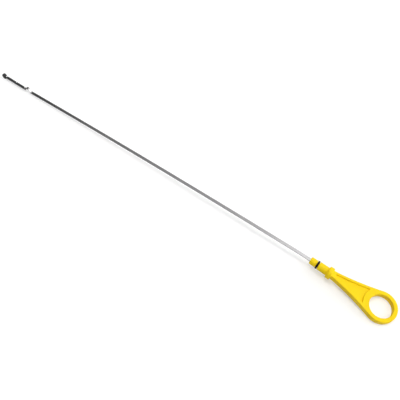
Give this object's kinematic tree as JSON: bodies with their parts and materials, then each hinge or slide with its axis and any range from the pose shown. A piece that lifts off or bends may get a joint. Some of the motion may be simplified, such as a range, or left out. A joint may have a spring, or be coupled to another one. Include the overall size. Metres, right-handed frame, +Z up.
{
  "type": "engine oil dipstick",
  "caption": "Oil level dipstick: moulded finger-ring handle with a sealing plug, and a long narrow steel blade that ends in a notched gauging length and a rolled eye.",
  "frame": {"origin": "middle of the footprint, on the surface that the dipstick lies on", "axes": "+X along the blade from the finger ring to the tip, +Z up"},
  "size_m": [0.584, 0.034, 0.0171],
  "materials": {
    "yellow_moulding": "satin moulded",
    "black_rubber": "smooth",
    "strip_steel": "bright rolled"
  },
  "bodies": {
    "root": {"handle": "yellow_moulding", "o_ring": "black_rubber", "blade": "strip_steel"}
  },
  "joints": []
}
